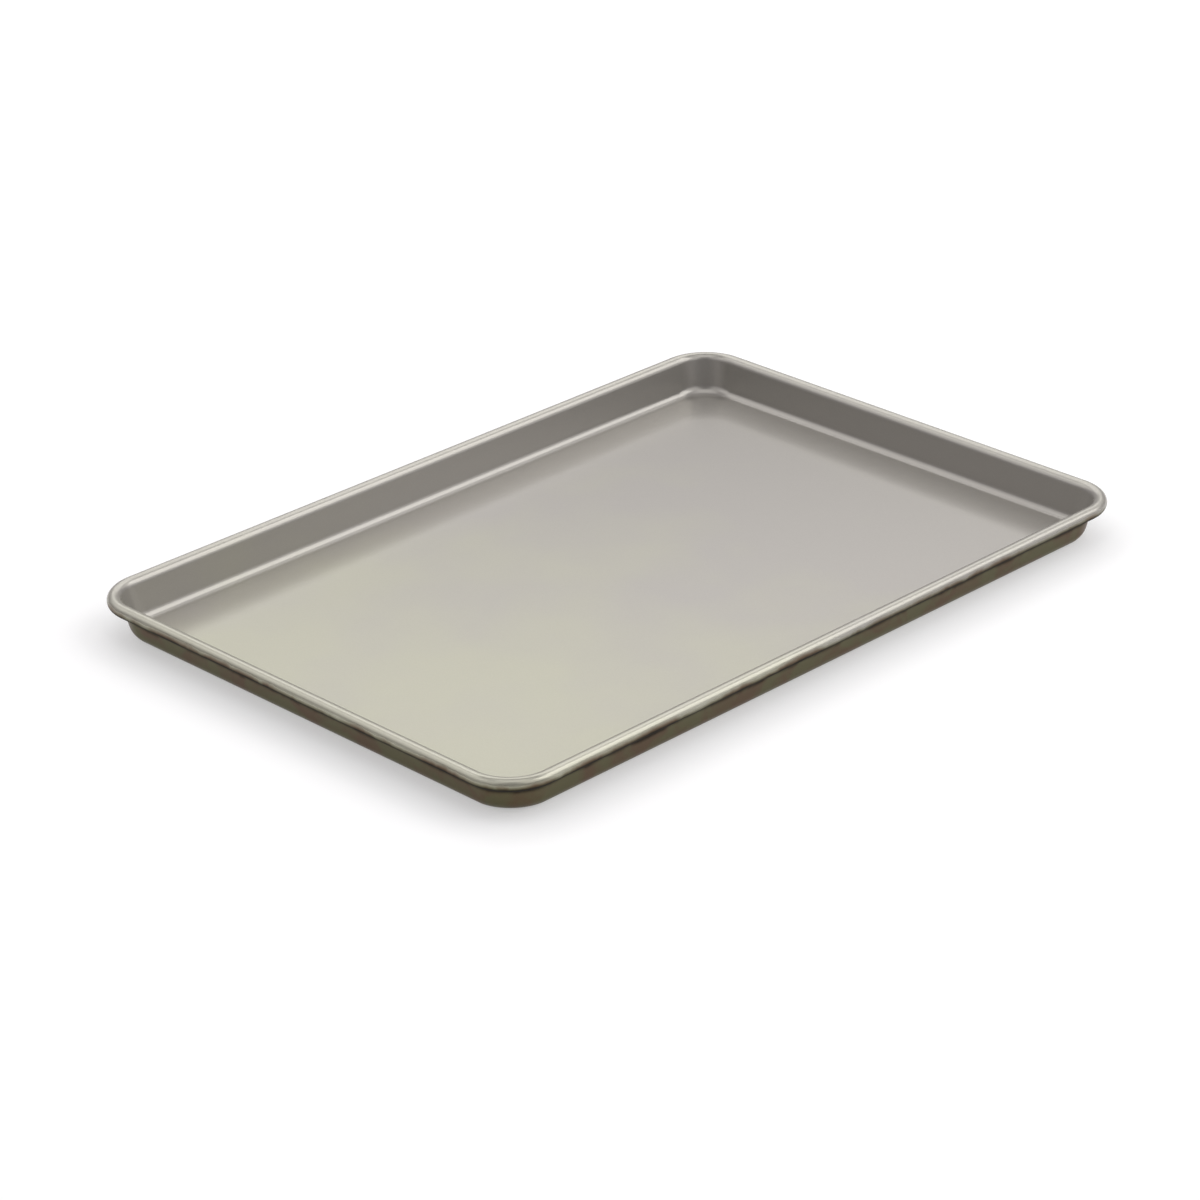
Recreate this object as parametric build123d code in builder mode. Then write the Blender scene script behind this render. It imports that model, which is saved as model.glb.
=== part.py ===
from build123d import *
import math
import os

os.makedirs("parts", exist_ok=True)

# Jelly roll pan, in millimetres. The origin is at the bottom centre of the pan, X runs along
# its long sides and Z points up. The pan is one sheet of steel: a flat floor, drafted walls
# and a rim rolled outward round a closed loop of wire.

# Whole pan, measured over the outside of the rolled rim
rim_length = 399.35
rim_width = 272.35
rim_corner_radius = 24.3
inside_depth = 19.05

# Sheet, and the walls drawn up from it: draft in degrees from upright, bend on the outside
sheet = 0.8
wall_draft = 9.5
foot_corner_radius = 20.3
foot_bend_radius = 5.0

# Rolled rim: the shoulder over the wall's top is a little softer than the roll itself
roll_radius = 3.0
shoulder_ease = 0.8
rim_skirt = 0.6
hem_gap = 0.3

# Wire held in the roll, with its two ends set close together
wire_clearance = 0.1
wire_joint_gap = 1.0

# Rounded rectangle through the middle of the roll
roll_line_length = rim_length - 2 * roll_radius
roll_line_width = rim_width - 2 * roll_radius
roll_line_corner = rim_corner_radius - roll_radius
roll_line_height = sheet + inside_depth - roll_radius

# The rim's section has its zero at the middle of the roll, outward positive and level up.
# Each face of the wall is a slanted line, given by its distance from that zero.
draft_sine = math.sin(math.radians(wall_draft))
draft_cosine = math.cos(math.radians(wall_draft))
shoulder_radius = roll_radius + shoulder_ease
inner_face_distance = shoulder_radius - shoulder_ease * draft_sine
outer_face_distance = inner_face_distance - sheet
wall_width = sheet / draft_cosine
skirt_level = (shoulder_radius - sheet) * draft_sine - shoulder_ease - rim_skirt
skirt_height = roll_line_height + skirt_level


def outer_face(level):
    """Place of the wall's outer face at a level of the rim's section."""
    return (level * draft_sine - outer_face_distance) / draft_cosine


# The sheet turns over the crest and on round the wire, and its edge stops one hem gap
# short of the wall
crest_angle = 90
wall_angle = 180 - wall_draft
hem_turn = math.degrees(math.acos(min(1, (outer_face_distance - hem_gap) / roll_radius)))
hem_angle = wall_angle + hem_turn - 360
shoulder_turn = wall_angle - crest_angle
roll_turn = crest_angle - hem_angle

# Outline of the wall at three heights, as an inset from the roll's line and a corner radius.
# The corners are nearly as wide at the foot as at the rim, so they lean more than the sides.
foot_inset = outer_face(-roll_line_height)
floor_inset = outer_face(sheet - roll_line_height)
skirt_inset = outer_face(skirt_level)
skirt_corner_radius = roll_line_corner + skirt_inset
floor_corner_radius = (
    foot_corner_radius + (skirt_corner_radius - foot_corner_radius) * sheet / skirt_height
)

# Line that the rim is rolled along
with BuildSketch(Plane.XY.offset(roll_line_height)) as roll_outline:
    RectangleRounded(roll_line_length, roll_line_width, roll_line_corner)
roll_line = roll_outline.sketch.face().outer_wire()
roll_direction = roll_line % 0
rim_plane = Plane(
    roll_line @ 0,
    x_dir=roll_direction.cross(Vector(0, 0, 1)),
    z_dir=-roll_direction,
)

# Lowest and highest outline of the drawn tray and of the hollow in it: height, inset, corner
tray_outside = (
    (0, foot_inset, foot_corner_radius),
    (skirt_height, skirt_inset, skirt_corner_radius),
)
tray_hollow = (
    (sheet, floor_inset - wall_width, floor_corner_radius - wall_width),
    (skirt_height, skirt_inset - wall_width, skirt_corner_radius - wall_width),
)
with BuildPart() as pan_body:
    # Floor and walls, up to where the rim begins
    for outlines, mode in ((tray_outside, Mode.ADD), (tray_hollow, Mode.SUBTRACT)):
        for height, inset, corner_radius in outlines:
            with BuildSketch(Plane.XY.offset(height)):
                RectangleRounded(
                    roll_line_length + 2 * inset,
                    roll_line_width + 2 * inset,
                    corner_radius,
                )
        loft(ruled=True, mode=mode)

    # Top of the wall, shoulder and roll, drawn as one strip of sheet and carried round the rim
    with BuildSketch(rim_plane):
        with BuildLine():
            middle = (0, -shoulder_ease)
            shoulder = CenterArc(middle, shoulder_radius, crest_angle, shoulder_turn)
            shoulder_inside = CenterArc(middle, shoulder_radius - sheet, crest_angle, shoulder_turn)
            roll = CenterArc((0, 0), roll_radius, hem_angle, roll_turn)
            roll_inside = CenterArc((0, 0), roll_radius - sheet, hem_angle, roll_turn)
            Line(roll @ 0, roll_inside @ 0)
            Polyline(
                shoulder @ 1,
                (skirt_inset - wall_width, skirt_level),
                (skirt_inset, skirt_level),
                shoulder_inside @ 1,
            )
        make_face()
    sweep(path=roll_line)

    # Bend from the floor into the walls, round the underside and then round the floor
    for place, radius in enumerate((foot_bend_radius, foot_bend_radius - sheet)):
        level_face = pan_body.faces().filter_by(Plane.XY).sort_by(Axis.Z)[place]
        fillet(level_face.edges(), radius)

# Reinforcing wire: one open loop, whose ends meet at the middle of a long side
wire_radius = roll_radius - sheet - wire_clearance
with BuildPart() as rim_wire:
    with BuildLine(Plane.XY.offset(roll_line_height)) as wire_line:
        FilletPolyline(
            (-wire_joint_gap / 2, roll_line_width / 2),
            (-roll_line_length / 2, roll_line_width / 2),
            (-roll_line_length / 2, -roll_line_width / 2),
            (roll_line_length / 2, -roll_line_width / 2),
            (roll_line_length / 2, roll_line_width / 2),
            (wire_joint_gap / 2, roll_line_width / 2),
            radius=roll_line_corner,
        )
    with BuildSketch(Plane(wire_line.line @ 0, z_dir=wire_line.line % 0)):
        Circle(wire_radius)
    sweep(path=wire_line.line)

pan_body.part.label = "pan_body"
export_step(pan_body.part, "parts/pan_body.step")
rim_wire.part.label = "rim_wire"
export_step(rim_wire.part, "parts/rim_wire.step")
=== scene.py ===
import math

import bpy
import numpy as np
from mathutils import Matrix, Vector


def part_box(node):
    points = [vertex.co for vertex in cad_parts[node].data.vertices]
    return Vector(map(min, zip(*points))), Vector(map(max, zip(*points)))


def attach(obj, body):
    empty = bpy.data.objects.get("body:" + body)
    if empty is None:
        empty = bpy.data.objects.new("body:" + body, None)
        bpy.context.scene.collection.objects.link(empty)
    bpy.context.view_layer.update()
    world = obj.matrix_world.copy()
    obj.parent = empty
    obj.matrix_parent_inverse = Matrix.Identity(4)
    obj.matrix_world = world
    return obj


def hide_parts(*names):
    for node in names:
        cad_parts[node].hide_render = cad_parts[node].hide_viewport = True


bl_info = {
    "name": "Jelly roll pan",
    "version": (1, 0, 0),
    "blender": (4, 5, 0),
    "location": "3D View > Sidebar > Pan",
    "description": "Rolled sheet body, rim wire and studio of a jelly roll pan",
    "category": "Add Mesh",
}

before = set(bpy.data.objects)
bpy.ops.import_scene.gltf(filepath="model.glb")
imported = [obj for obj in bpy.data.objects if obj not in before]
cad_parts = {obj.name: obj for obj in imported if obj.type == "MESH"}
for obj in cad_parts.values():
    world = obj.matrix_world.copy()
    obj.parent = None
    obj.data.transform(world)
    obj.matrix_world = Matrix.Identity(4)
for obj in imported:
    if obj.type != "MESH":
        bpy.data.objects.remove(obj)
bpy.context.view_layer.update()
body_low, body_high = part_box("pan_body")

MM = 0.001


def linear(code):
    """Linear red, green and blue of an sRGB hex code such as "#c9c6b9"."""
    shares = [int(code[i:i + 2], 16) / 255 for i in (1, 3, 5)]
    return tuple(s / 12.92 if s <= 0.04045 else ((s + 0.055) / 1.055) ** 2.4 for s in shares)


def length(name, text, value, **limits):
    """A property that holds a length in metres."""
    return bpy.props.FloatProperty(
        name=name, description=text, default=value, unit="LENGTH", precision=5, **limits
    )


def angle(name, text, degrees):
    """A property that holds an angle."""
    return bpy.props.FloatProperty(
        name=name, description=text, default=math.radians(degrees), subtype="ANGLE"
    )


def colour(name, text, code):
    """A property that holds a colour, given as an sRGB hex code."""
    return bpy.props.FloatVectorProperty(
        name=name, description=text, default=linear(code), subtype="COLOR", size=3, min=0, max=1
    )


def share(name, text, value, top=1.0):
    """A property that holds a plain number from zero up."""
    return bpy.props.FloatProperty(name=name, description=text, default=value, min=0, max=top)


class PanShape(bpy.types.PropertyGroup):
    """Sizes of the pan's sheet, beside its overall size, which is that of the pan_body part."""

    sheet: length("Sheet", "Thickness of the steel sheet", 0.8 * MM)
    rim_corner: length("Rim corner", "Corner radius over the outside of the roll", 24.3 * MM)
    foot_corner: length(
        "Foot corner", "Corner radius where the walls would meet the floor", 19.6 * MM
    )
    foot_bend: length("Foot bend", "Underside's bend radius into a straight wall", 5.0 * MM)
    corner_bend: length("Corner bend", "The same radius in the middle of a corner", 7.0 * MM)
    draft: angle("Draft", "Lean of the four walls from upright", 9.5)
    roll: length("Roll", "Radius of the rolled rim", 3.0 * MM)
    shoulder_ease: length(
        "Shoulder ease", "How much softer the shoulder is than the roll", 0.8 * MM
    )
    hem_gap: length("Hem gap", "Gap between the rolled edge and the wall", 0.3 * MM)


class PanFinish(bpy.types.PropertyGroup):
    """Colours and gloss of the pan's sheet and wire."""

    inside: colour("Inside", "Satin coat on the floor, the inner walls and the crest", "#adac9c")
    inside_rosy: colour("Inside, rosy", "The same coat where it went on thicker", "#a7a49e")
    # The crest colour makes the top 2 mm of the rim paler, in strokes
    crest: colour("Crest", "Coat rubbed thin along the top of the rim", "#b4b2a7")
    # The two outside colours are painted shade: a darkened copy of the inside's coat, standing in
    # for the dark surroundings that the outer walls mirror. The brown patches are tone that
    # differs at random.
    outside: colour("Outside", "Coat dulled by baking, on outer walls and underside", "#635f46")
    outside_brown: colour("Outside, browned", "The same coat where it has browned", "#645341")
    # The groove colour and its roughness paint shade: a dark matt sheet laid on the roll's
    # underside and the wall's top, where the gap between them lies in shade.
    groove_shade: colour("Grime", "Baked-on film in the groove under the roll", "#1e1a12")
    groove_shade_roughness: share("Grime roughness", "Roughness of the baked-on film", 0.7)
    flake_share: share("Flake share", "Part of the light that the coat's flakes mirror", 0.55)
    pigment_sheen: share("Pigment sheen", "Specular level of the coat's pigment and film", 0.1)
    roughness: share("Roughness", "Roughness of the satin coat", 0.24)
    outside_roughness: share("Outside roughness", "Roughness of the dulled coat", 0.36)
    zinc: colour("Zinc", "Dull zinc on the rim wire", "#b4b6b5")


class PanStudio(bpy.types.PropertyGroup):
    """Floor, lamps and camera."""

    floor: colour("Floor", "Pale studio floor", "#ffffff")
    floor_glow: share("Floor glow", "Share of the floor's white that no shadow takes away", 0.4)
    room: colour("Room", "Light from all round", "#fffafe")
    room_light: share("Room light", "Strength of the light from all round", 0.37)
    dim_light: share("Dim light", "Strength of the light on the camera's side", 0.18)
    lamp_light: share("Lamp light", "Factor on the brightness of all softboxes", 1.0, top=10.0)
    lamp_distance: length("Lamp distance", "Distance of the softboxes from the pan", 3.0)
    azimuth: angle("Azimuth", "Camera's turn about the pan, from a long side's middle", -44.73)
    elevation: angle("Elevation", "Camera's height as an angle", 25.83)
    tilt: angle("Tilt", "Camera's turn about its own line of sight", -0.948)
    distance: length("Distance", "Camera's distance from its aim", 1.811)
    aim: bpy.props.FloatVectorProperty(
        name="Aim",
        description="Point that the camera looks at",
        default=(-13.3 * MM, -1.4 * MM, -4.5 * MM),
        unit="LENGTH",
    )
    lens: bpy.props.FloatProperty(
        name="Lens", description="Focal length for a 36 mm frame", default=119.55, unit="CAMERA"
    )


def add_node(tree, kind, settings=None, links=None):
    """One node in a tree: settings go to its attributes, or to inputs given by name or place,
    and links join other nodes' outputs to its inputs."""
    node = tree.nodes.new(kind)
    for key, value in (settings or {}).items():
        if isinstance(key, str) and hasattr(node, key):
            setattr(node, key, value)
        else:
            node.inputs[key].default_value = value
    for key, output in (links or {}).items():
        tree.links.new(output, node.inputs[key])
    return node


def new_material(name):
    """An empty node material, its tree and its output node."""
    material = bpy.data.materials.new(name)
    material.use_nodes = True
    material.node_tree.nodes.clear()
    output = add_node(material.node_tree, "ShaderNodeOutputMaterial")
    return material, material.node_tree, output


def per(size):
    """Scale of a noise whose patches are about this many millimetres wide."""
    return 1 / (size * MM)


def sprayed_tone(tree, finish, place, strokes):
    """Tone of the coat on the inside: olive, rosy where it is thicker, and paler on the crest.

    The coat thickens along the pan towards +X and beside the long wall at +Y, in clouds about
    70 mm wide. The crest is the top 2 mm of the rim, made paler in strokes.
    """
    axes = add_node(tree, "ShaderNodeSeparateXYZ", links={"Vector": place}).outputs
    along = add_node(
        tree,
        "ShaderNodeMapRange",
        {"clamp": False, "From Min": 0.75 * body_low.x, "From Max": 0.45 * body_high.x},
        {"Value": axes["X"]},
    ).outputs["Result"]
    across = add_node(
        tree,
        "ShaderNodeMapRange",
        {"From Min": 0.6 * body_high.y, "From Max": body_high.y, "To Max": 0.8},
        {"Value": axes["Y"]},
    ).outputs["Result"]
    thicker = add_node(
        tree, "ShaderNodeMath", {"operation": "ADD"}, {0: along, 1: across}
    ).outputs[0]
    clouds = add_node(
        tree, "ShaderNodeTexNoise", {"Scale": per(70), "Detail": 2.0}, {"Vector": place}
    ).outputs[0]
    drift = add_node(
        tree, "ShaderNodeMapRange", {"To Min": -0.9, "To Max": 0.9}, {"Value": clouds}
    ).outputs["Result"]
    cloudy = add_node(
        tree, "ShaderNodeMath", {"operation": "ADD", "use_clamp": True}, {0: thicker, 1: drift}
    ).outputs[0]
    sprayed = add_node(
        tree,
        "ShaderNodeMix",
        {"data_type": "RGBA", 6: (*finish.inside, 1), 7: (*finish.inside_rosy, 1)},
        {"Factor": cloudy},
    ).outputs[2]

    top = add_node(
        tree,
        "ShaderNodeMapRange",
        {"From Min": body_high.z - 2 * MM, "From Max": body_high.z},
        {"Value": axes["Z"]},
    ).outputs["Result"]
    paler_top = add_node(
        tree, "ShaderNodeMath", {"operation": "MULTIPLY", "use_clamp": True}, {0: top, 1: strokes}
    ).outputs[0]
    return add_node(
        tree,
        "ShaderNodeMix",
        {"data_type": "RGBA", 7: (*finish.crest, 1)},
        {"Factor": paler_top, 6: sprayed},
    ).outputs[2]


def shaded_outside_tone(tree, finish, patches, groove_shade_mask):
    """Tone of the outside, in painted shade: the coat darkened to stand in for the dark
    surroundings that the outer walls mirror, browned at random in patches, and darkest in the
    painted shade of the groove under the roll.
    """
    browned = add_node(
        tree, "ShaderNodeMapRange", {"From Min": 0.42, "From Max": 0.6}, {"Value": patches}
    ).outputs["Result"]
    shaded_coat = add_node(
        tree,
        "ShaderNodeMix",
        {"data_type": "RGBA", 6: (*finish.outside, 1), 7: (*finish.outside_brown, 1)},
        {"Factor": browned},
    ).outputs[2]
    return add_node(
        tree,
        "ShaderNodeMix",
        {"data_type": "RGBA", 7: (*finish.groove_shade, 1)},
        {"Factor": groove_shade_mask, 6: shaded_coat},
    ).outputs[2]


def coated_steel(finish):
    """Drawn steel with a sprayed satin coat of metal flakes in pigment.

    The flakes mirror and the pigment scatters, so soft reflections lie over the coat's own
    colour. The spray is uneven, so the tone drifts in clouds from olive to rosy, over a grain
    as fine as the flakes. The crest is made paler in strokes. From the roll's flank down, the
    outside is painted shade: the same coat darkened to stand in for the dark surroundings that
    the outer walls mirror, and browned at random in patches. Painted shade also lies under the
    roll as a dark matt sheet, where the groove between roll and wall is in shade.
    """
    material, tree, output = new_material("spray_coated_drawn_steel")
    place = add_node(tree, "ShaderNodeTexCoord").outputs["Object"]
    outside = add_node(tree, "ShaderNodeAttribute", {"attribute_name": "outside"}).outputs["Fac"]

    # Patches with ragged edges about 16 mm wide, and strokes about 4 mm wide
    patches = add_node(
        tree,
        "ShaderNodeTexNoise",
        {"Scale": per(16), "Detail": 4.0, "Distortion": 0.6},
        {"Vector": place},
    ).outputs[0]
    strokes = add_node(
        tree, "ShaderNodeTexNoise", {"Scale": per(4), "Detail": 3.0}, {"Vector": place}
    ).outputs[0]

    # The inside's coat turns into the outside's darker painted shade on the roll's flank, sooner
    # or later by patches
    reached = add_node(
        tree, "ShaderNodeMath", {"operation": "MULTIPLY_ADD", 1: 0.4}, {0: patches, 2: outside}
    ).outputs[0]
    turned = add_node(
        tree,
        "ShaderNodeMapRange",
        {"interpolation_type": "SMOOTHSTEP", "From Min": 0.51, "From Max": 0.8},
        {"Value": reached},
    ).outputs["Result"]

    # Painted shade in the groove: a dark matt sheet, thickest between roll and wall, where the
    # outside's scale is 1, with an edge that the patches make ragged
    groove = add_node(
        tree, "ShaderNodeMath", {"operation": "PINGPONG", 1: 1.0}, {0: outside}
    ).outputs[0]
    groove = add_node(
        tree, "ShaderNodeMath", {"operation": "MULTIPLY_ADD", 1: 0.25}, {0: patches, 2: groove}
    ).outputs[0]
    groove_shade_mask = add_node(
        tree,
        "ShaderNodeMapRange",
        {"interpolation_type": "SMOOTHSTEP", "From Min": 0.63, "From Max": 0.81},
        {"Value": groove},
    ).outputs["Result"]
    mirror = add_node(
        tree,
        "ShaderNodeMapRange",
        {"To Min": finish.flake_share, "To Max": 0.0},
        {"Value": groove_shade_mask},
    ).outputs["Result"]

    # Flakes of the coat, truly 0.05 mm and drawn 0.6 mm wide so that they show
    flakes = add_node(
        tree, "ShaderNodeTexNoise", {"Scale": per(0.6), "Detail": 2.0}, {"Vector": place}
    ).outputs[0]
    sparkle = add_node(
        tree, "ShaderNodeMapRange", {"To Min": 0.95, "To Max": 1.05}, {"Value": flakes}
    ).outputs["Result"]
    relief = add_node(
        tree, "ShaderNodeBump", {"Strength": 0.5, "Distance": 0.004 * MM}, {"Height": flakes}
    ).outputs[0]
    inside_tone = sprayed_tone(tree, finish, place, strokes)
    outside_tone = shaded_outside_tone(tree, finish, patches, groove_shade_mask)
    tone = add_node(
        tree,
        "ShaderNodeMix",
        {"data_type": "RGBA"},
        {"Factor": turned, 6: inside_tone, 7: outside_tone},
    ).outputs[2]
    tone = add_node(
        tree, "ShaderNodeVectorMath", {"operation": "SCALE"}, {0: tone, "Scale": sparkle}
    ).outputs[0]

    # Satin inside, duller outside and matt on the painted shade, a little uneven in the strokes
    gloss = add_node(
        tree,
        "ShaderNodeMix",
        {"data_type": "FLOAT", 2: finish.roughness, 3: finish.outside_roughness},
        {"Factor": turned},
    ).outputs[0]
    gloss = add_node(
        tree,
        "ShaderNodeMix",
        {"data_type": "FLOAT", 3: finish.groove_shade_roughness},
        {"Factor": groove_shade_mask, 2: gloss},
    ).outputs[0]
    uneven = add_node(
        tree, "ShaderNodeMapRange", {"To Min": -0.03, "To Max": 0.03}, {"Value": strokes}
    ).outputs["Result"]
    gloss = add_node(
        tree, "ShaderNodeMath", {"operation": "ADD"}, {0: gloss, 1: uneven}
    ).outputs[0]
    shader = add_node(
        tree,
        "ShaderNodeBsdfPrincipled",
        {"Specular IOR Level": finish.pigment_sheen},
        {"Base Color": tone, "Metallic": mirror, "Roughness": gloss, "Normal": relief},
    )
    tree.links.new(shader.outputs["BSDF"], output.inputs["Surface"])
    return material


def zinc_wire(finish):
    """Cold-drawn wire, hot-dipped in zinc: dull grey, cloudy, with faint lines along it."""
    material, tree, output = new_material("zinc_dipped_drawn_wire")
    place = add_node(tree, "ShaderNodeTexCoord").outputs["Object"]

    # Clouds of zinc about 3 mm wide
    spangle = add_node(
        tree, "ShaderNodeTexNoise", {"Scale": per(3), "Detail": 3.0}, {"Vector": place}
    ).outputs[0]
    tint = add_node(
        tree, "ShaderNodeMapRange", {"To Min": 0.8, "To Max": 1.15}, {"Value": spangle}
    ).outputs["Result"]
    tone = add_node(
        tree, "ShaderNodeVectorMath", {"operation": "SCALE", 0: finish.zinc}, {"Scale": tint}
    ).outputs[0]
    gloss = add_node(
        tree, "ShaderNodeMapRange", {"To Min": 0.38, "To Max": 0.55}, {"Value": spangle}
    ).outputs["Result"]

    # Lines left by the die: noise squeezed to 0.15 mm across the wire's height
    squeezed = add_node(
        tree, "ShaderNodeMapping", {"Scale": (per(20), per(20), per(0.15))}, {"Vector": place}
    ).outputs[0]
    lines = add_node(tree, "ShaderNodeTexNoise", {"Scale": 1.0}, {"Vector": squeezed}).outputs[0]
    relief = add_node(
        tree, "ShaderNodeBump", {"Strength": 0.4, "Distance": 0.01 * MM}, {"Height": lines}
    ).outputs[0]
    shader = add_node(
        tree,
        "ShaderNodeBsdfPrincipled",
        {"Metallic": 1.0},
        {"Base Color": tone, "Roughness": gloss, "Normal": relief},
    )
    tree.links.new(shader.outputs["BSDF"], output.inputs["Surface"])
    return material


# Stations round each corner of the rim and along each side
CORNER_STEPS, SIDE_STEPS = 40, 16

# Shares of the way along a wall, and from the middle of the floor to its edge. They lie close
# together at the bends, so that the shading turns in the bends alone.
WALL_SHARES = np.array([0.01, 0.05, 0.2, 0.4, 0.6, 0.8, 0.95, 0.99])[:, None]
RING_SHARES = np.array([0.25, 0.5, 0.75, 0.9, 0.97, 0.9975])[:, None]

# How far the sheet's cut edge bulges at its middle, as a share of the sheet's thickness
EDGE_BULGE = 0.12


def rim_stations(half, rim_corner, foot_corner, foot_inset):
    """Stations round the rim, anticlockwise from the start of the corner arc at +X +Y.

    A station has an outward direction N = (cos t, sin t), a point P of the rim's line and a
    point Q of the foot's line. In a corner, t turns by a quarter about two fixed middles:
    P = C + rim_corner N and Q = D + foot_corner N. Along a side t stands still, and C and D
    slide in straight lines to those of the next corner. The last value is sin(pi k), where k
    is the share of the corner's turn that is done: 1 in a corner's middle and 0 along a side.
    """
    keys = np.arange(9)
    turn_keys = np.radians([0, 90, 90, 180, 180, 270, 270, 360, 360])
    sign_x = np.array([1, 1, -1, -1, -1, -1, 1, 1, 1])
    sign_y = np.array([1, 1, 1, 1, -1, -1, -1, -1, 1])
    steps = [CORNER_STEPS, SIDE_STEPS] * 4
    place = np.concatenate([k + np.arange(n) / n for k, n in enumerate(steps)])
    turn = np.interp(place, keys, turn_keys)
    side = np.stack([np.interp(place, keys, sign_x), np.interp(place, keys, sign_y)], 1)
    outward = np.stack([np.cos(turn), np.sin(turn)], 1)
    rim = side * (half - rim_corner) + rim_corner * outward
    foot = side * (half - foot_inset - foot_corner) + foot_corner * outward
    return outward, rim, foot, np.abs(np.sin(2 * turn))


def arc(middle, radius, start, stop, count):
    """Points middle + radius (cos a, sin a) with a from start to stop, for each station."""
    start, stop, radius = (np.reshape(value, (-1, 1)) for value in (start, stop, radius))
    a = start + (stop - start) * np.linspace(0, 1, count)
    across, up = (np.reshape(value, (-1, 1)) for value in middle)
    return np.stack([across + radius * np.cos(a), up + radius * np.sin(a)], -1)


def hem_angle(shape):
    """Angle on the roll at which the sheet ends, one hem gap short of a straight side's wall."""
    ease = shape.shoulder_ease
    wall_distance = shape.roll + ease - ease * math.sin(shape.draft) - shape.sheet
    turn = math.acos(min(1, (wall_distance - shape.hem_gap) / shape.roll))
    return math.pi - shape.draft + turn - math.tau


def sheet_section(shape, inset, height, cornering):
    """The sheet's section at each station, as named parts in the order in which it is drawn.

    A point is (u, w), with u outward and w up from the middle of the roll. The section runs
    over the sheet's inner skin, round the roll to the hem's edge, and back inside the roll and
    down the outer skin. The wall's lean a makes it touch the shoulder and reach the foot: with
    the foot inset g and the drop d below the shoulder's middle, a = acos(r / hypot(g, d)) -
    atan2(d, g), where r is the shoulder's inner radius. The bend's radius grows from foot_bend
    along a side to corner_bend in the middle of a corner. The cut edge bulges from the hem's
    angle by EDGE_BULGE (1 - e^4) of the sheet, with e from 1 to -1 across it.
    """
    sheet, roll, ease = shape.sheet, shape.roll, shape.shoulder_ease
    shoulder = roll + ease
    drop = height - ease
    lean = np.arccos((shoulder - sheet) / np.hypot(inset, drop)) - np.arctan2(drop, inset)
    wall_turn = math.pi - lean
    level = np.full_like(lean, math.pi / 2)
    hem = np.full_like(lean, hem_angle(shape))
    zero = np.zeros_like(lean)
    shoulder_middle = (zero, zero - ease)
    bend = shape.foot_bend + (shape.corner_bend - shape.foot_bend) * cornering
    bend_middle = (-inset - bend * np.tan((math.pi / 2 - lean) / 2), bend - height)

    inner_bend = arc(bend_middle, bend - sheet, -level, -lean, count=17)
    inner_shoulder = arc(shoulder_middle, shoulder, wall_turn, level, count=21)
    outer_roll = arc((zero, zero), roll, level, hem, count=61)[:, 1:]
    back_roll = arc((zero, zero), roll - sheet, hem, level, count=49)
    back_shoulder = arc(shoulder_middle, shoulder - sheet, level, wall_turn, count=17)[:, 1:]
    outer_bend = arc(bend_middle, bend, -lean, -level, count=19)

    top, foot = inner_shoulder[:, :1], inner_bend[:, -1:]
    inner_wall = foot + WALL_SHARES * (top - foot)
    top, foot = back_shoulder[:, -1:], outer_bend[:, :1]
    outer_wall = top + WALL_SHARES * (foot - top)

    edge_share = np.linspace(1, -1, 9)[1:-1]
    edge_radius = roll - sheet / 2 + sheet / 2 * edge_share
    edge_turn = hem_angle(shape) - EDGE_BULGE * sheet * (1 - edge_share ** 4) / roll
    edge = np.stack([edge_radius * np.cos(edge_turn), edge_radius * np.sin(edge_turn)], -1)
    return {
        "inner_bend": inner_bend,
        "inner_wall": inner_wall,
        "inner_shoulder": inner_shoulder,
        "outer_roll": outer_roll,
        "edge": np.broadcast_to(edge, (len(lean), *edge.shape)),
        "back_roll": back_roll,
        "back_shoulder": back_shoulder,
        "outer_wall": outer_wall,
        "outer_bend": outer_bend,
    }


def outside_scale(shape, parts, height):
    """How far outside each ring lies, for the coat's pattern.

    It is 0 on the inside and the crest, rises with the turn of the roll to 1 at its lowest
    point, stays 1 behind it, and rises with the drop from there to 2 underneath.
    """
    count = {name: part.shape[1] for name, part in parts.items()}
    inner = count["inner_bend"] + count["inner_wall"] + count["inner_shoulder"]
    behind = count["edge"] + count["back_roll"] + count["back_shoulder"]
    roll_turn = math.pi / 2 - hem_angle(shape)
    roll_shares = np.linspace(0, 1, count["outer_roll"] + 1)[1:] * roll_turn / math.pi
    skirt = parts["back_shoulder"][0, -1, 1]
    levels = np.concatenate([parts["outer_wall"][0, :, 1], parts["outer_bend"][0, :, 1]])
    return np.concatenate([
        np.zeros(len(RING_SHARES) + inner),
        np.minimum(roll_shares, 1),
        np.ones(behind),
        1 + (skirt - levels) / (skirt + height),
        np.full(len(RING_SHARES), 2.0),
    ])


def pan_surface(shape):
    """The whole skin of the sheet as a closed grid of points, and how far outside each ring is.

    A point (u, w) of a station's section stands at P + u N + s T, where T is the sideways part
    of Q - P and s is the point's share of the drop, so that the wall is ruled from the rim's
    corner to the foot's. Flat rings close in on the middle of the floor and of the underside.
    """
    roll, ease = shape.roll, shape.shoulder_ease
    half = np.array([body_high.x - roll, body_high.y - roll])
    height = body_high.z - roll
    wall_reach = roll + ease - shape.sheet + (height - ease) * math.sin(shape.draft)
    foot_inset = wall_reach / math.cos(shape.draft)
    outward, rim, foot, cornering = rim_stations(
        half, shape.rim_corner - roll, shape.foot_corner, foot_inset
    )
    across = foot - rim
    inset = -(across * outward).sum(1)
    sideways = across + inset[:, None] * outward
    parts = sheet_section(shape, inset, height, cornering)
    section = np.concatenate(list(parts.values()), 1)

    top = parts["inner_shoulder"][:, :1, 1]
    slide = np.clip((top - section[..., 1]) / (top + height), 0, 1)
    out = section[..., :1] * outward[:, None]
    plan = rim[:, None] + out + slide[..., None] * sideways[:, None]
    walls = np.concatenate([plan, section[..., 1:] + height], -1)

    shrink = RING_SHARES * (1.0, 1.0, 0.0) + (0.0, 0.0, 1.0)
    grid = np.concatenate([walls[:, :1] * shrink, walls, walls[:, -1:] * shrink[::-1]], 1)
    return grid, outside_scale(shape, parts, height)


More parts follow.
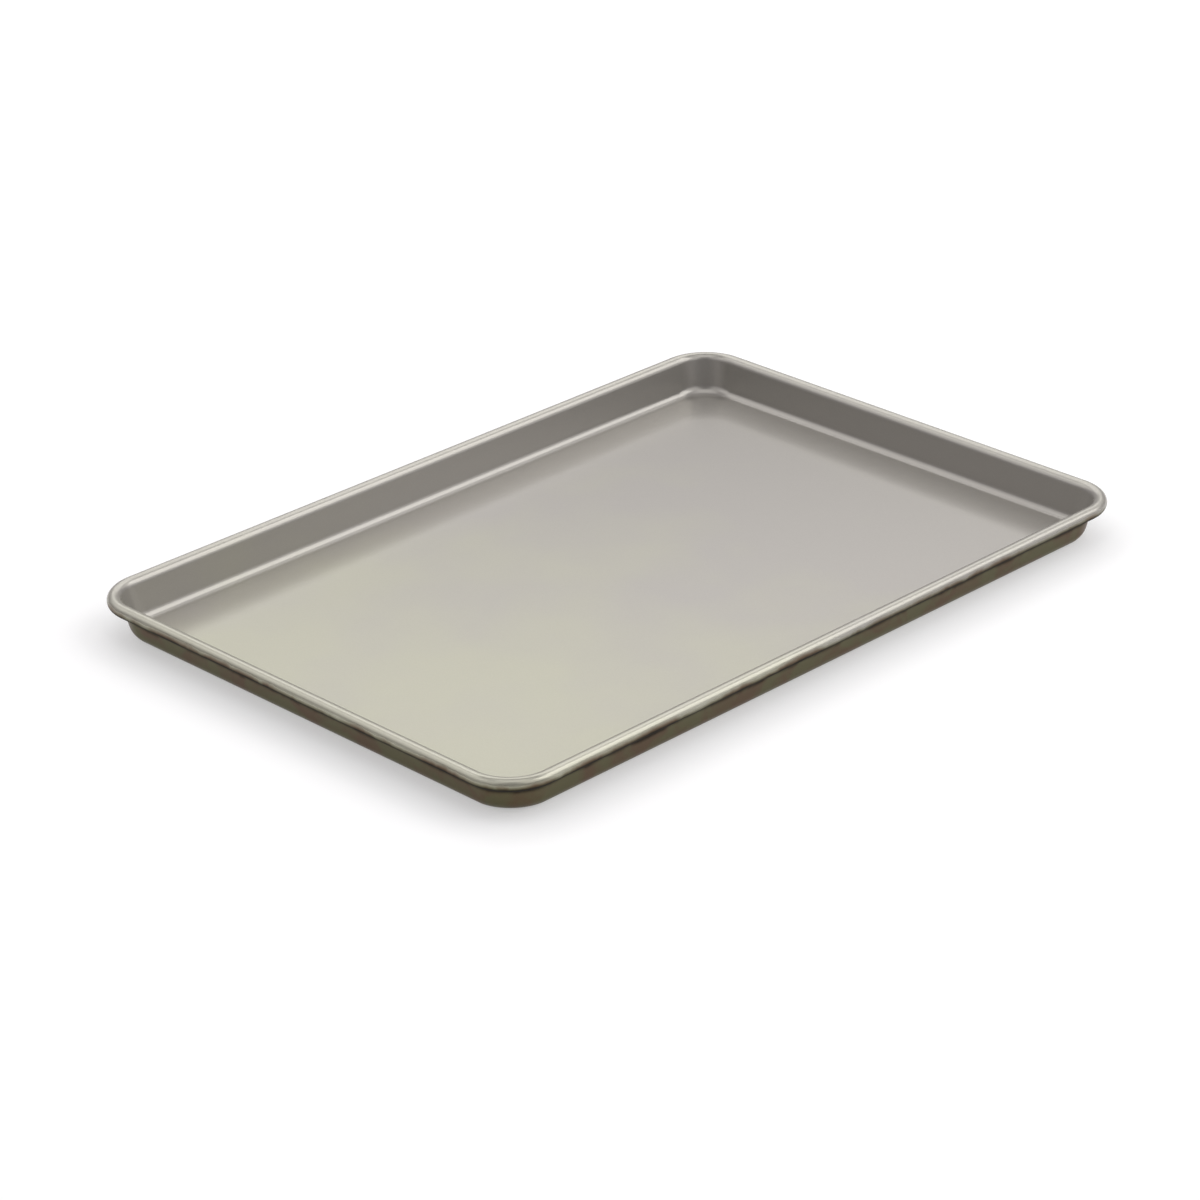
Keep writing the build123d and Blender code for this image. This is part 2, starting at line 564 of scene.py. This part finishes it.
def mesh_from_loops(name, grid, outside):
    """A closed mesh from rings of points: quads between rings, and one vertex at each pole."""
    stations, rings = grid.shape[:2]
    poles = [grid[:, 0].mean(0) * (0, 0, 1), grid[:, -1].mean(0) * (0, 0, 1)]
    points = np.concatenate([grid.reshape(-1, 3), poles])
    here = np.arange(stations)[:, None] * rings + np.arange(rings - 1)
    there = np.roll(np.arange(stations), -1)[:, None] * rings + np.arange(rings - 1)
    quads = np.stack([here, there, there + 1, here + 1], -1).reshape(-1, 4)
    start = np.arange(stations) * rings
    after = np.roll(start, -1)
    first_pole, last_pole = stations * rings, stations * rings + 1
    fans = [
        np.stack([np.full(stations, first_pole), after, start], -1),
        np.stack([np.full(stations, last_pole), start + rings - 1, after + rings - 1], -1),
    ]
    faces = quads[:, ::-1].tolist() + fans[0][:, ::-1].tolist() + fans[1][:, ::-1].tolist()
    mesh = bpy.data.meshes.new(name)
    mesh.from_pydata(points, [], faces)
    mesh.shade_smooth()
    values = np.concatenate([np.tile(outside, stations), outside[[0, -1]]]).astype(np.float32)
    mesh.attributes.new("outside", "FLOAT", "POINT").data.foreach_set("value", values)
    mesh.update()
    return mesh


def link(thing):
    """Puts a new object into the scene."""
    bpy.context.scene.collection.objects.link(thing)
    return thing


class PAN_OT_body(bpy.types.Operator):
    """Makes the sheet: floor, walls and the rim rolled round its wire"""

    bl_idname = "pan.body"
    bl_label = "Sheet body"

    def execute(self, context):
        scene = context.scene
        mesh = mesh_from_loops("pan_sheet", *pan_surface(scene.pan_shape))
        mesh.materials.append(coated_steel(scene.pan_finish))
        sheet = link(bpy.data.objects.new("pan_sheet", mesh))
        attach(sheet, "root")
        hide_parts("pan_body")
        return {"FINISHED"}


class PAN_OT_wire(bpy.types.Operator):
    """Gives the rim's wire its dull zinc coat"""

    bl_idname = "pan.wire"
    bl_label = "Rim wire"

    def execute(self, context):
        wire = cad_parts["rim_wire"]
        wire.data.materials.clear()
        wire.data.materials.append(zinc_wire(context.scene.pan_finish))
        return {"FINISHED"}


# Softboxes round the pan: name, azimuth and elevation in degrees, width and height in metres,
# and brightness, where 1 looks white in a mirror. The brightnesses were not set by hand: they
# are those of a least-squares fit, as room_light and dim_light are, to within 0.06. Only that
# of low_right_softbox was raised further, from 0.29.
SOFTBOXES = (
    ("front_right_softbox", 0, 42, 2.0, 2.0, 0.8),
    ("right_softbox", 45, 42, 2.2, 2.0, 2.15),
    ("back_right_softbox", 90, 42, 2.2, 2.0, 0.7),
    ("back_softbox", 135, 42, 2.2, 2.0, 1.4),
    ("back_left_softbox", 180, 42, 2.2, 2.0, 0.82),
    ("left_softbox", -135, 42, 2.2, 2.0, 0.85),
    ("front_left_softbox", -90, 42, 2.0, 2.0, 0.55),
    ("top_softbox", -45, 80, 2.0, 2.0, 0.95),
    ("low_right_softbox", 45, 12, 2.2, 1.0, 0.6),
)

# The room's dim side, in degrees: height of its middle, and how far from that middle it stays
# at its darkest and where it ends
DIM_HEIGHT, DIM_CORE, DIM_EDGE = 18, 8, 45

# Half the width of the studio floor, and its gap below the pan
FLOOR_REACH, FLOOR_GAP = 8.0, 0.1 * MM


def direction(azimuth, elevation):
    """Unit vector towards a lamp or camera that stands at an azimuth and elevation."""
    flat = math.cos(elevation)
    return Vector((math.sin(azimuth) * flat, -math.cos(azimuth) * flat, math.sin(elevation)))


def soft_lamp(name, azimuth, elevation, distance, width, tall, brightness):
    """An area lamp that faces the pan. Its power is brightness times pi times its area, which
    makes brightness 1 look white in a mirror."""
    back = direction(math.radians(azimuth), math.radians(elevation))
    data = bpy.data.lights.new(name, "AREA")
    data.shape = "RECTANGLE"
    data.size, data.size_y = width, tall
    data.energy = brightness * math.pi * width * tall
    lamp = link(bpy.data.objects.new(name, data))
    lamp.location = back * distance
    lamp.rotation_mode = "QUATERNION"
    lamp.rotation_quaternion = back.to_track_quat("Z", "Y")
    lamp.visible_camera = False
    return lamp


def studio_floor(studio):
    """A wide, pale, matt floor just under the pan.

    Seen directly, in a gloss or through glass, a share of its white is its own glow. The rest
    takes the lamps' light and the pan's shadow.
    """
    material, tree, output = new_material("pale_studio_floor")
    path = add_node(tree, "ShaderNodeLightPath").outputs
    seen = path["Is Camera Ray"]
    for ray in ("Is Glossy Ray", "Is Transmission Ray"):
        seen = add_node(
            tree,
            "ShaderNodeMath",
            {"operation": "ADD", "use_clamp": True},
            {0: seen, 1: path[ray]},
        ).outputs[0]
    part = add_node(
        tree, "ShaderNodeMath", {"operation": "MULTIPLY", 1: studio.floor_glow}, {0: seen}
    ).outputs[0]
    matt = add_node(tree, "ShaderNodeBsdfDiffuse", {"Color": (*studio.floor, 1)}).outputs[0]
    glow = add_node(
        tree, "ShaderNodeEmission", {"Color": (*studio.floor, 1), "Strength": 1.0}
    ).outputs[0]
    mixed = add_node(tree, "ShaderNodeMixShader", links={0: part, 1: matt, 2: glow})
    tree.links.new(mixed.outputs[0], output.inputs["Surface"])

    mesh = bpy.data.meshes.new("studio_floor")
    signs = ((-1, -1), (1, -1), (1, 1), (-1, 1))
    corners = [(x * FLOOR_REACH, y * FLOOR_REACH, -FLOOR_GAP) for x, y in signs]
    mesh.from_pydata(corners, [], [(0, 1, 2, 3)])
    mesh.materials.append(material)
    floor = link(bpy.data.objects.new("studio_floor", mesh))
    return floor


def studio_world(studio):
    """Even light from all round, dimmer on the side where the camera stands.

    As the cosine of the angle from the dim side's middle goes from that of its edge to that of
    its core, the light falls from room_light to dim_light.
    """
    world = bpy.data.worlds.new("studio_world")
    world.use_nodes = True
    tree = world.node_tree
    tree.nodes.clear()
    ray = add_node(tree, "ShaderNodeTexCoord").outputs["Generated"]
    dim_side = direction(studio.azimuth, math.radians(DIM_HEIGHT))
    cosine = add_node(
        tree, "ShaderNodeVectorMath", {"operation": "DOT_PRODUCT", 1: dim_side}, {0: ray}
    ).outputs["Value"]
    strength = add_node(
        tree,
        "ShaderNodeMapRange",
        {
            "interpolation_type": "SMOOTHSTEP",
            "From Min": math.cos(math.radians(DIM_EDGE)),
            "From Max": math.cos(math.radians(DIM_CORE)),
            "To Min": studio.room_light,
            "To Max": studio.dim_light,
        },
        {"Value": cosine},
    ).outputs["Result"]
    light = add_node(
        tree, "ShaderNodeBackground", {"Color": (*studio.room, 1)}, {"Strength": strength}
    )
    output = add_node(tree, "ShaderNodeOutputWorld")
    tree.links.new(light.outputs[0], output.inputs[0])
    bpy.context.scene.world = world


def studio_camera(studio):
    """The camera stands at a distance from its aim, turned and tilted as the studio says."""
    back = direction(studio.azimuth, studio.elevation)
    level = Vector((math.cos(studio.azimuth), math.sin(studio.azimuth), 0))
    upright = back.cross(level)
    right = math.cos(studio.tilt) * level + math.sin(studio.tilt) * upright
    up = back.cross(right)
    data = bpy.data.cameras.new("studio_camera")
    data.sensor_width = 36.0
    data.lens = studio.lens
    data.clip_start, data.clip_end = 0.01, 100
    camera = link(bpy.data.objects.new("studio_camera", data))
    place = Matrix((right, up, back)).transposed().to_4x4()
    place.translation = Vector(studio.aim) + back * studio.distance
    camera.matrix_world = place
    bpy.context.scene.camera = camera


class PAN_OT_stage(bpy.types.Operator):
    """Lays the pale floor and sets the lamps and the camera"""

    bl_idname = "pan.stage"
    bl_label = "Studio"

    def execute(self, context):
        scene = context.scene
        studio = scene.pan_studio
        scene.view_settings.view_transform = "Standard"
        studio_floor(studio)
        studio_world(studio)
        studio_camera(studio)
        for name, azimuth, elevation, width, tall, brightness in SOFTBOXES:
            strength = studio.lamp_light * brightness
            soft_lamp(name, azimuth, elevation, studio.lamp_distance, width, tall, strength)
        return {"FINISHED"}


class PAN_PT_sidebar(bpy.types.Panel):
    """Sizes, finishes and making of the pan."""

    bl_idname = "PAN_PT_sidebar"
    bl_label = "Jelly roll pan"
    bl_space_type = "VIEW_3D"
    bl_region_type = "UI"
    bl_category = "Pan"

    def draw(self, context):
        column = self.layout.column()
        for group in (context.scene.pan_shape, context.scene.pan_finish, context.scene.pan_studio):
            for name in group.bl_rna.properties.keys():
                if name not in ("rna_type", "name"):
                    column.prop(group, name)
        for operator in OPERATORS:
            column.operator(operator.bl_idname)


GROUPS = {"pan_shape": PanShape, "pan_finish": PanFinish, "pan_studio": PanStudio}
OPERATORS = (PAN_OT_body, PAN_OT_wire, PAN_OT_stage)


def register():
    """Registers the classes and ties each group of values to the scene."""
    for name, group in GROUPS.items():
        bpy.utils.register_class(group)
        setattr(bpy.types.Scene, name, bpy.props.PointerProperty(type=group))
    for operator in OPERATORS:
        bpy.utils.register_class(operator)
    bpy.utils.register_class(PAN_PT_sidebar)


def unregister():
    """Takes back what register did."""
    bpy.utils.unregister_class(PAN_PT_sidebar)
    for operator in reversed(OPERATORS):
        bpy.utils.unregister_class(operator)
    for name, group in GROUPS.items():
        delattr(bpy.types.Scene, name)
        bpy.utils.unregister_class(group)


def main():
    """Makes the pan and its studio."""
    register()
    bpy.ops.pan.body()
    bpy.ops.pan.wire()
    bpy.ops.pan.stage()


if __name__ == "__main__":
    main()
